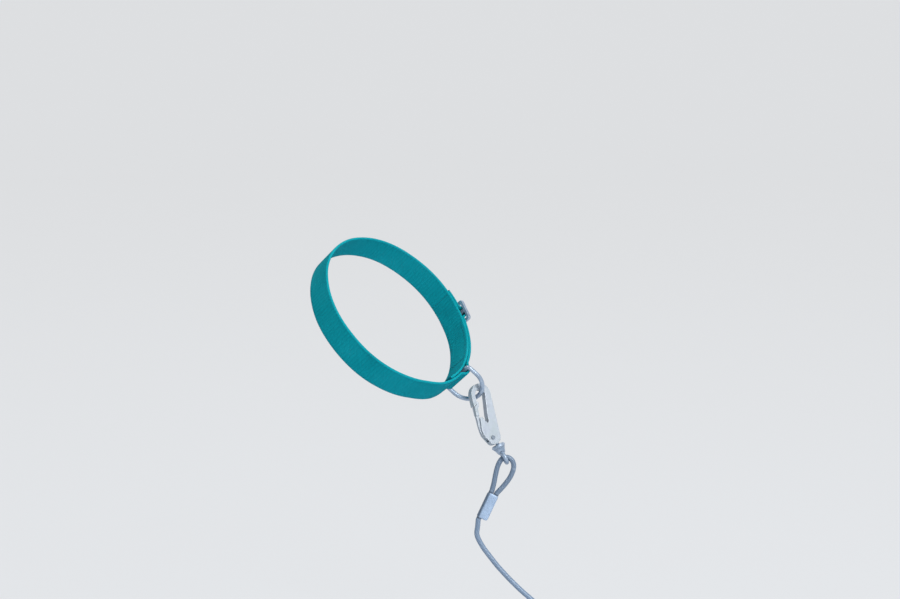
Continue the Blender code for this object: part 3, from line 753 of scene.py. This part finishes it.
class Collar:
    """The webbing with its stitching, ring and slide."""

    def __init__(self, size: CollarSize) -> None:
        """Lay out the strip.

        Args:
            size: The collar's sizes.
        """
        self.size = size
        self.outer = size.radius + size.thickness + size.gap
        end = 360.0 + size.slide_angle + size.tail
        self.angles = np.arange(size.start, end + MERGE, size.angle_step)
        radii = np.array([self.radius_at(angle) for angle in self.angles])
        turn = np.radians(self.angles)
        self.points = np.stack([radii * np.cos(turn), radii * np.sin(turn)], axis=1)
        steps = np.linalg.norm(np.diff(self.points, axis=0), axis=1)
        self.along = np.concatenate([[0.0], np.cumsum(steps)])
        self.length = float(self.along[-1])
        self.face = size.width - 2 * size.edge
        self.wall = size.thickness - 2 * size.edge
        self.girth = 2 * (self.face + self.wall) + 2 * math.pi * size.edge

    def frame(self) -> Matrix:
        """Find the collar's frame.

        Returns:
            The frame with z along the neck and x down to the throat.
        """
        rise = math.radians(self.size.rise)
        heading = math.radians(self.size.heading)
        flat = math.cos(rise)
        axis = Vector((flat * math.cos(heading), flat * math.sin(heading), math.sin(rise)))
        down = Vector((0.0, 0.0, -1.0))
        throat = (down - down.dot(axis) * axis).normalized()
        return frame_of(Vector(), throat, axis.cross(throat), axis)

    def hump(self, angle: float, centre: float, flat: float, reach: float) -> float:
        """Give the share of the strip's rise over the bar at centre, level for flat and ended at reach."""
        offset = abs(math.radians(angle - 360.0 - centre) * self.outer)
        return ease((reach - offset) / (reach - flat))

    def radius_at(self, angle: float) -> float:
        """Find the webbing's middle radius.

        Args:
            angle: The place along the strip.

        Returns:
            The distance from the neck's axis.
        """
        z = self.size
        radius = z.radius + (z.thickness + z.gap) * ease((angle - z.lap_start) / (z.lap_end - z.lap_start))
        if angle <= z.lap_start:
            return radius
        over_ring = z.ring_wire + z.gap
        over_bar = z.thickness + z.slide_thickness + 2 * z.gap
        radius += over_ring * self.hump(angle, z.ring_angle, z.ring_flat, z.ring_reach)
        return radius + over_bar * self.hump(angle, z.slide_angle, z.slide_flat, z.slide_reach)

    def section(self, along: np.ndarray, share: np.ndarray) -> Pair:
        """Shape the webbing's rounded cross-section with its woven ribs.

        Args:
            along: Distances along the strip.
            share: Shares of the way round its edge.

        Returns:
            Offsets inward and along the neck.
        """
        z = self.size
        quarter = math.pi / 2 * z.edge
        marks = np.cumsum([0.0] + [self.face, quarter, self.wall, quarter] * 2)
        place = np.clip(share, 0.0, 1.0) * marks[-1]
        turns = np.radians([-90.0, -90.0, 0.0, 0.0, 90.0, 90.0, 180.0, 180.0, 270.0])
        turn = np.interp(place, marks, turns)
        w = np.interp(place, marks, np.array([-1, 1, 1, 1, 1, -1, -1, -1, -1]) * (self.face / 2))
        y = np.interp(place, marks, np.array([-1, -1, -1, 1, 1, 1, 1, -1, -1]) * (self.wall / 2))
        ribs = -0.5 - 0.5 * np.cos(2 * math.pi * along / z.rib)
        within = np.clip((z.selvedge - np.abs(w)) / MM, 0.25, 1.0)
        reach = z.edge + z.rib_depth * ribs * within
        ripple = z.ripple * np.sin(along / (7.3 * MM)) * np.sin(along / (13.1 * MM) + w / (9.0 * MM))
        waver = z.waver * np.sin(along / (9.1 * MM))
        return y + reach * np.sin(turn) + ripple, w + reach * np.cos(turn) + waver

    def stitch_places(self) -> list[Matrix]:
        """Place the seams' stitches on the flat strip.

        Returns:
            Their frames: each stitch shows on the outer layer's face and, where it can, on the inner one's.
        """
        z = self.size
        rows = [z.ring_angle + side * away for side in (-1.0, 1.0) for away in z.row_offsets]
        rows.append(z.slide_angle + z.tail - z.end_row)
        across = [(number - (z.row_stitches - 1) / 2) * z.row_pitch for number in range(z.row_stitches)]
        places = [(angle, offset, 90.0) for angle in rows for offset in across]
        for offset in (-z.side_offset, z.side_offset):
            angle = z.ring_angle + z.side_start
            while angle < z.slide_angle - z.side_end:
                places.append((angle, offset, 0.0))
                angle += z.side_pitch / (math.radians(1.0) * self.outer)
        height = z.thickness / 2 + z.stitch_rise
        flip = Matrix.Rotation(math.pi, 4, "X")
        frames = []
        for angle, offset, turn in places:
            spin = Matrix.Rotation(math.radians(turn), 4, "Y")
            for place, y, side in ((angle + 360.0, -height, Matrix()), (angle, height, flip)):
                if place > z.start:
                    along = float(np.interp(place, self.angles, self.along))
                    frames.append(Matrix.Translation((along, y, offset)) @ spin @ side)
        return frames

    def add_stitches(self) -> Piece:
        """Model one stitch, drawn along x, whose ends dive into the weave, and copy it to each place.

        Returns:
            The stitches on the flat strip, as one object.
        """
        z = self.size
        master = add_solid(
            bpy.ops.mesh.primitive_uv_sphere_add, (z.stitch_width, z.stitch_width, z.stitch_length),
            segments=8, ring_count=6, radius=0.5, rotation=(0.0, math.pi / 2, 0.0),
        )
        for vertex in master.data.vertices:
            vertex.co.y += z.stitch_sink * (2 * vertex.co.x / z.stitch_length) ** 2
        stitches = [(add_object("stitch", master.data.copy()), matrix) for matrix in self.stitch_places()]
        bpy.data.objects.remove(master)
        make_active(stitches[0][0])
        for stitch, matrix in stitches:
            stitch.data.transform(matrix)
            stitch.select_set(True)
        bpy.ops.object.join()
        return put(bpy.context.view_layer.objects.active, name="collar_stitching")

    def build(self) -> None:
        """Model the webbing and its stitching."""
        steps = round(self.length / self.size.rib * self.size.steps_per_rib)
        strip = add_sleeve("collar_webbing", self.length, steps, self.size.faces_round, self.section)
        self.webbing = bend_along(strip, self.points, self.frame(), 50)
        self.stitching = bend_along(self.add_stitches(), self.points, self.frame(), 60)

    def dress(self) -> None:
        """Finish the collar's pieces."""
        z, webbing = self.size, self.webbing
        finish = WebbingFinish(self.length, self.girth, self.face, z.rib, z.selvedge)
        dress(webbing, finish.material())
        dress(self.stitching, ThreadFinish().material())
        for piece in (webbing, self.stitching):
            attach(piece, Body.COLLAR.value)
        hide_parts("collar_band")


# The metal pieces


@dataclass(frozen=True)
class MetalPart:
    """A packed metal solid and how its copy is made: face size, rounds of softening and skin."""

    node: str
    name: str
    body: Body
    slot: str
    finish: MetalFinish
    voxel: float = 0.26 * MM
    rounds: int = 3
    swell: float = 0.03 * MM
    parted: bool = False


COLLAR_METAL = (
    MetalPart("d_ring", "dee_ring_wire", Body.RING, "nickel", NICKEL),
    MetalPart("adjuster_slide", "slide_plate", Body.COLLAR, "nickel", NICKEL),
)
SNAP_METAL = (
    MetalPart("snap_body", "snap_casting", Body.SNAP, "zinc", ZINC, swell=0.08 * MM, parted=True),
    MetalPart("snap_gate", "gate_tongue", Body.GATE, "zinc", ZINC, voxel=0.2 * MM, rounds=2),
    MetalPart("gate_rivet", "rivet_pin", Body.SNAP, "nickel", STEEL, voxel=0.12 * MM, rounds=2, swell=0.0),
    MetalPart("swivel_eye", "swivel_casting", Body.SWIVEL, "nickel", NICKEL, voxel=0.2 * MM),
)


@dataclass
class Hardware:
    """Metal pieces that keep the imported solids' forms, with soft edges, a cast skin and wear.

    The plane is a point and the normal of the plane where a mould's halves met.
    """

    parts: Sequence[MetalPart]
    plane: tuple[Vector, Vector] | None = None
    copies: list[tuple[MetalPart, Piece]] = field(default_factory=list)

    def build(self) -> None:
        """Copy each solid, even it out and note its edges."""
        for part in self.parts:
            piece = add_object(part.name, frame["nodes"][part.node].data.copy())
            even_out(piece, part.voxel, part.rounds, part.swell)
            note_edges(piece)
            if part.parted and self.plane:
                add_parting(piece, *self.plane)
            self.copies.append((part, piece))
            LOG.info("metal piece %s has %d faces", part.name, len(piece.data.polygons))

    def dress(self) -> None:
        """Finish each copy and put it in its solid's place."""
        made = {}
        for part, piece in self.copies:
            if part.finish.name not in made:
                made[part.finish.name] = part.finish.material()
            dress(piece, made[part.finish.name])
            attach(piece, part.body.value)
            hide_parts(part.node)


# The wire rope line


@dataclass(frozen=True)
class LineSize:
    """Sizes of the wire rope line, in the line's own x and z from where it pivots."""

    diameter: float = 4.5 * MM
    gap: float = 0.3 * MM
    lead: float = 1.8 * MM
    strand_spacing: float = 4.8 * MM
    ferrule_length: float = 23.8 * MM
    ferrule_width: float = 9.8 * MM
    ferrule_depth: float = 6.2 * MM
    ferrule_tilt: float = 25.4
    ferrule_top: Point = (-11.7 * MM, -27.3 * MM)
    ferrule_faces: int = 64
    far_tilt: float = -52.0
    near_tone: float = 0.78
    far_tone: float = 0.95
    lay: float = 30.0 * MM
    strands: int = 6
    relief: float = 0.035 * MM
    tuck: float = 1.6 * MM
    eye_step: float = 0.9 * MM
    rope_step: float = 1.5 * MM
    face_length: float = 0.8 * MM
    faces_round: int = 48
    voxel: float = 0.2 * MM
    rounds: int = 2
    swell: float = 0.03 * MM
    rim: float = 1.25 * MM
    squeeze: float = 0.035
    bite: float = 0.012
    bites: int = 3
    bite_from: float = 0.3
    cuts: tuple = (0.08, 0.2, 0.32, 0.44, 0.56, 0.68, 0.8, 0.92)
    flash_width: float = 0.5 * MM
    flash_depth: float = 0.7 * MM
    flash_end: float = 1.2 * MM
    flash_sink: float = 0.02 * MM
    # where the painted shade on a ferrule's one side begins and how soon it is full
    side_shade_from: float = 0.5
    side_shade_ease: float = 0.22


EYE_ROUTE = (
    (-11.3, -18.1), (-9.8, -10.4), (-8.0, -3.3), (-5.4, 2.0), (-2.5, 4.2), (0.2, 4.6), (2.9, 3.6),
    (5.3, 0.5), (5.9, -4.5), (3.6, -11.3), (-0.8, -17.9), (-5.9, -23.7),
)
ROPE_ROUTE = (
    (-25.3, -54.3), (-25.9, -58.6), (-26.2, -61.6), (-25.4, -64.9), (-23.4, -69.2), (-19.8, -75.0),
    (-15.9, -80.2), (-12.5, -84.6), (-8.0, -90.2), (-3.5, -95.2), (1.5, -100.6), (7.0, -106.1),
    (13.0, -111.8), (19.8, -117.7), (27.0, -123.7), (34.6, -129.5),
)
ROPE_END = (42.4, -135.4)


@dataclass(frozen=True)
class Seat:
    """Where a ferrule's loaded end lies in the line's plane, and how far it is turned there."""

    left: float
    up: float
    turn: float

    def out(self, x: float, z: float) -> Point:
        """Carry a point from the ferrule's frame to the line's plane."""
        cos, sin = math.cos(self.turn), math.sin(self.turn)
        return self.left + x * cos + z * sin, self.up - x * sin + z * cos

    def own(self, x: float, z: float) -> Point:
        """Carry a point from the line's plane to the ferrule's frame."""
        dx, dz, cos, sin = x - self.left, z - self.up, math.cos(self.turn), math.sin(self.turn)
        return dx * cos - dz * sin, dx * sin + dz * cos


@dataclass
class RopePiece:
    """One stretch of the rope and the way that it runs."""

    name: str
    node: str
    route: list[Point]
    tone: float = 1.0
    obj: Piece | None = None

    @property
    def length(self) -> float:
        """Measure the stretch."""
        return float(np.linalg.norm(np.diff(np.array(self.route, float), axis=0), axis=1).sum())


class NeckLine:
    """The wire rope line: two pressed eyes, their ferrules and the rope between them."""

    def __init__(self, size: LineSize, matrix: Matrix) -> None:
        """Lay out the line.

        Args:
            size: The line's sizes.
            matrix: The line's frame, at its pivot in the swivel's eye.
        """
        self.size = size
        self.matrix = matrix
        self.near = Seat(*size.ferrule_top, math.radians(size.ferrule_tilt))
        far = Seat(0.0, 0.0, math.radians(180.0 + size.far_tilt))
        end = tuple(MM * value for value in ROPE_END)
        foot = far.out(-size.strand_spacing / 2, -size.ferrule_length - size.gap)
        self.far = Seat(end[0] - foot[0], end[1] - foot[1], far.turn)
        self.pieces = [
            RopePiece("near_eye_rope", "rope_eye", self.eye_route(self.near), size.near_tone),
            RopePiece("neck_line_rope", "line_rope", self.rope_route()),
            RopePiece("far_eye_rope", "far_eye", self.eye_route(self.far), size.far_tone),
        ]

    def eye_route(self, seat: Seat) -> list[Point]:
        """Route an eye out of its ferrule and back.

        Args:
            seat: The ferrule's place.

        Returns:
            The eye's middle line.
        """
        z = self.size
        half = z.strand_spacing / 2
        route = [seat.out(-half, z.gap + z.lead)]
        route += [seat.out(*self.near.own(x * MM, y * MM)) for x, y in EYE_ROUTE]
        route.append(seat.out(half, z.gap + z.lead))
        return [seat.out(-half, -z.tuck), *smooth_line(route, z.eye_step), seat.out(half, -z.tuck)]

    def rope_route(self) -> list[Point]:
        """Route the rope between the ferrules.

        Returns:
            The rope's middle line.
        """
        z = self.size
        across = -z.strand_spacing / 2
        below = -z.ferrule_length - z.gap - z.lead
        inside = -z.ferrule_length + z.tuck
        route = [self.near.out(across, below)]
        route += [(x * MM, y * MM) for x, y in ROPE_ROUTE]
        route.append(self.far.out(across, below))
        return [self.near.out(across, inside), *smooth_line(route, z.rope_step), self.far.out(across, inside)]

    def round_section(self, along: np.ndarray, share: np.ndarray) -> Pair:
        """Shape the rope's cross-section, with its strands in low relief.

        Args:
            along: Distances along the rope.
            share: Shares of the way round it.

        Returns:
            Offsets across the line's plane and out of it.
        """
        z = self.size
        ridge = np.abs(np.sin(math.pi * z.strands * (share - along / z.lay)))
        radius = z.diameter / 2 - z.relief * (1.0 - ridge)
        turn = 2 * math.pi * share
        return -radius * np.cos(turn), radius * np.sin(turn)

    def build_rope(self, piece: RopePiece) -> None:
        """Model one stretch of rope.

        Args:
            piece: The stretch.
        """
        z = self.size
        steps = round(piece.length / z.face_length)
        tube = add_sleeve(piece.name, piece.length, steps, z.faces_round, self.round_section)
        upright = self.matrix @ Matrix.Rotation(math.radians(90), 4, "X")
        piece.obj = bend_along(tube, piece.route, upright, 60)

    def build_ferrule(self, name: str, seat: Seat) -> Piece:
        """Model a pressed ferrule with its flash lines and press marks.

        Args:
            name: The ferrule's name.
            seat: Its place.

        Returns:
            The ferrule.
        """
        z = self.size
        middle = -z.ferrule_length / 2
        sleeve = add_solid(
            bpy.ops.mesh.primitive_cylinder_add, (z.ferrule_depth / 2, z.ferrule_depth / 2, z.ferrule_length),
            (0.0, 0.0, middle), vertices=z.ferrule_faces, radius=1.0, depth=1.0,
        )
        sleeve.name = name
        shift = (z.ferrule_width - z.ferrule_depth) / 2
        for vertex in sleeve.data.vertices:
            vertex.co.x += shift if vertex.co.x > 0 else -shift
        places = [(0.0, 0.0, -z.ferrule_length * cut) for cut in z.cuts]
        bisect = partial(bpy.ops.mesh.bisect, plane_no=(0.0, 0.0, 1.0))
        edit_whole(sleeve, *(partial(bisect, plane_co=place) for place in places))
        for vertex in sleeve.data.vertices:
            share = -vertex.co.z / z.ferrule_length
            pressed = 1.0 - z.squeeze * math.sin(math.pi * share) ** 2
            vertex.co.y *= pressed - z.bite * (math.cos(2 * z.bites * math.pi * share) > z.bite_from)
        limit = {"limit_method": "ANGLE", "angle_limit": math.radians(60)}
        put(sleeve.modifiers.new("eased", "BEVEL"), width=z.rim, segments=4, **limit)
        apply_all(sleeve)
        flash_size = (z.flash_width, z.flash_depth, z.ferrule_length - 2 * z.flash_end)
        flash_side = z.ferrule_width / 2 - z.flash_sink
        flashes = [
            add_solid(bpy.ops.mesh.primitive_cube_add, flash_size, (side * flash_side, 0.0, middle), size=1.0)
            for side in (-1.0, 1.0)
        ]
        for flash in flashes:
            put(sleeve.modifiers.new("flash", "BOOLEAN"), operation="UNION", solver="EXACT", object=flash)
        even_out(sleeve, z.voxel, z.rounds, z.swell)
        note_edges(sleeve)
        # paint shade along the ferrule's -x side, in a layer that its finish reads
        side_shade = corners_of(sleeve)[0][:, 0] / (-z.ferrule_width / 2)
        write_layer(sleeve, SIDE_SHADE_LAYER, (side_shade - z.side_shade_from) / z.side_shade_ease)
        for flash in flashes:
            bpy.data.objects.remove(flash)
        own = Matrix.Translation((seat.left, 0.0, seat.up)) @ Matrix.Rotation(seat.turn, 4, "Y")
        make_active(sleeve)
        sleeve.matrix_world = self.matrix @ own
        bpy.ops.object.transform_apply()
        return sleeve

    def build(self) -> None:
        """Model the line's pieces."""
        for piece in self.pieces:
            self.build_rope(piece)
            LOG.info("rope %s is %.1f mm long", piece.name, piece.length / MM)
        self.near_ferrule = self.build_ferrule("near_ferrule_sleeve", self.near)
        self.far_ferrule = self.build_ferrule("far_ferrule_sleeve", self.far)

    def dress(self) -> None:
        """Finish the line's pieces and attach them to the line's body."""
        z = self.size
        for piece in self.pieces:
            finish = RopeFinish(piece.name, piece.length, z.lay, z.strands, z.tuck, piece.tone)
            dress(piece.obj, finish.material())
            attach(piece.obj, Body.LINE.value)
            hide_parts(piece.node)
        aluminium = ALUMINIUM.material()
        for sleeve, node in ((self.near_ferrule, "ferrule"), (self.far_ferrule, "far_ferrule")):
            dress(sleeve, aluminium)
            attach(sleeve, Body.LINE.value)
            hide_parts(node)


# Studio


@dataclass(frozen=True)
class Lamp:
    """One soft lamp."""

    name: str
    place: tuple
    size: float
    power: float
    colour: Colour = (1.0, 1.0, 1.0)


@dataclass(frozen=True)
class StudioSize:
    """Where the camera stands and what surrounds the object, in metres."""

    image: tuple = (900, 599)
    lens: float = 50.0
    sensor: float = 23.5
    pitch: float = 10.0
    distance: float = 1.66
    clip_start: float = 0.05
    origin_pixel: Point = (390.7, 316.5)
    floor: float = 12.0
    floor_gap: float = 12 * MM
    reach: float = 8.0
    wall: float = 6.0
    cove: float = 2.0
    floor_colour: Colour = (0.44, 0.51, 0.60)
    seen: Colour = (0.93, 0.93, 0.93)
    glow: float = 0.72
    aim: tuple = (0.05, -0.02, -0.1)
    sky: Colour = (0.92, 0.96, 1.0)
    sky_side: tuple = (0.65, -0.35, 0.65)
    sky_dim: float = 0.10
    sky_bright: float = 0.64


LAMPS = (
    Lamp("key_lamp", (1.05, -1.6, 1.2), 0.9, 28.0),
    Lamp("fill_lamp", (-1.7, -1.1, 0.4), 1.5, 1.6, (0.62, 0.80, 1.0)),
    Lamp("top_lamp", (-0.3, 0.5, 1.9), 1.4, 9.0),
)


@dataclass(frozen=True)
class Studio:
    """The camera, lamps, floor and sky, which is brightest on one side and dim on the other."""

    size: StudioSize
    lowest: float

    def add_camera(self) -> None:
        """Stand the camera where the photograph was taken from."""
        z = self.size
        pitch = math.radians(z.pitch)
        forward = Vector((0.0, math.cos(pitch), -math.sin(pitch)))
        up = Vector((0.0, math.sin(pitch), math.cos(pitch)))
        per_pixel = z.distance * z.sensor / z.lens / z.image[0]
        right_shift = (z.image[0] / 2 - z.origin_pixel[0]) * per_pixel
        up_shift = (z.origin_pixel[1] - z.image[1] / 2) * per_pixel
        data = put(bpy.data.cameras.new("camera"), lens=z.lens, sensor_fit="HORIZONTAL")
        camera = add_object("camera", put(data, sensor_width=z.sensor, clip_start=z.clip_start))
        camera.location = -z.distance * forward + Vector((right_shift, 0.0, 0.0)) + up * up_shift
        camera.rotation_euler = (math.radians(90.0) - pitch, 0.0, 0.0)
        bpy.context.scene.camera = camera

    def floor_finish(self) -> bpy.types.Material:
        """Build the floor's material, which the camera sees lit more evenly than it is.

        Returns:
            The material.
        """
        s = Sheet(bpy.data.materials.new("studio_pale"))
        colour = self.size.floor_colour
        mottle = s.spread(s.noise(3.0, 2.0), 0.3, 0.7)
        s.finish(Base_Color=s.layers(colour, (mottle, tuple(0.985 * c for c in colour))), Roughness=0.9)
        glow = s.add("Emission", {"Color": self.size.seen}).outputs[0]
        paths = s.add("LightPath").outputs
        rays = s.math("ADD", paths["Is Camera Ray"], paths["Is Glossy Ray"])
        rays = s.math("ADD", rays, paths["Is Transmission Ray"], clamp=True)
        share = s.times(rays, self.size.glow)
        blend = s.add("MixShader", {0: share, 1: s.shader.outputs[0], 2: glow})
        s.plug(blend.outputs[0], s.tree.nodes["Material Output"].inputs["Surface"])
        return s.owner

    def add_floor(self) -> None:
        """Lay the floor under the object and curve it up behind."""
        z = self.size
        floor = add_solid(bpy.ops.mesh.primitive_plane_add, size=z.floor)
        put(floor, name="studio_floor", location=(0.0, 0.0, self.lowest - z.floor_gap))
        for vertex in floor.data.vertices:
            vertex.co.x *= z.reach
            vertex.co.y *= z.reach if vertex.co.y < 0 else 1.0
        edit_whole(floor, partial(bpy.ops.mesh.select_all, action="DESELECT"))
        for edge in floor.data.edges:
            edge.select = all(floor.data.vertices[index].co.y > 0.0 for index in edge.vertices)
        bpy.ops.object.mode_set(mode="EDIT")
        bpy.ops.mesh.select_mode(type="EDGE")
        bpy.ops.mesh.extrude_region_move(TRANSFORM_OT_translate={"value": (0.0, 0.0, z.wall)})
        bpy.ops.object.mode_set(mode="OBJECT")
        put(floor.modifiers.new("cove", "BEVEL"), width=z.cove, segments=24)
        apply_all(floor)
        bpy.ops.object.shade_smooth()
        dress(floor, self.floor_finish())

    def add_lamps(self) -> None:
        """Hang the lamps, each turned to the object."""
        for lamp in LAMPS:
            data = put(bpy.data.lights.new(lamp.name, "AREA"), shape="DISK", size=lamp.size)
            put(data, energy=lamp.power, color=lamp.colour)
            aim = Vector(self.size.aim) - Vector(lamp.place)
            turn = aim.to_track_quat("-Z", "Y").to_euler()
            put(add_object(lamp.name, data), location=lamp.place, rotation_euler=turn)

    def add_world(self) -> None:
        """Light the surroundings softly."""
        z = self.size
        s = Sheet(bpy.data.worlds.new("studio_world"), "Background")
        place = s.add("TexCoord").outputs["Generated"]
        side = s.add("VectorMath", {0: place, 1: Vector(z.sky_side).normalized()}, operation="DOT_PRODUCT")
        span = {"Value": side.outputs["Value"], "From Min": -1.0, "To Min": z.sky_dim, "To Max": z.sky_bright}
        level = s.add("MapRange", span).outputs["Result"]
        bpy.context.scene.world = s.finish(Color=z.sky, Strength=level)

    def build(self) -> None:
        """Set up the studio round the object."""
        self.add_floor()
        self.add_lamps()
        self.add_world()
        bpy.context.scene.view_settings.view_transform = "Standard"


def joint_named(name: str) -> dict:
    """Give a joint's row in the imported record."""
    return next(joint for joint in frame["record"]["behaviour"]["joints"] if joint["name"] == name)


def line_frame() -> Matrix:
    """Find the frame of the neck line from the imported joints.

    Returns:
        The frame at the line's pivot, x to the right in the line's plane and z up it.
    """
    hinge = joint_named("line_hinge")
    away = Vector(hinge["axis"]).normalized()
    right = Vector((1.0, 0.0, 0.0))
    return frame_of(Vector(hinge["pos_m"]), right, away, right.cross(away))


def main() -> None:
    """Build the scene in order, from the camera to the floor."""
    logging.basicConfig(level=logging.INFO, format="%(name)s: %(message)s")
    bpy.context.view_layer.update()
    studio = Studio(StudioSize(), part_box("far_eye")[0][2])
    studio.add_camera()

    line = NeckLine(LineSize(), line_frame())
    line.build()
    line.dress()
    LOG.info("neck line built")

    collar = Collar(CollarSize())
    collar.build()
    collar.dress()
    LOG.info("collar built, %.1f mm of webbing", collar.length / MM)

    hinge = joint_named("gate_hinge")
    plane = (Vector(hinge["pos_m"]), Vector(hinge["axis"]).normalized())
    for title, metal in (("collar's metal", Hardware(COLLAR_METAL)), ("snap", Hardware(SNAP_METAL, plane))):
        metal.build()
        metal.dress()
        LOG.info("%s built", title)

    studio.build()
    LOG.info("studio built")


if __name__ == "__main__":
    main()
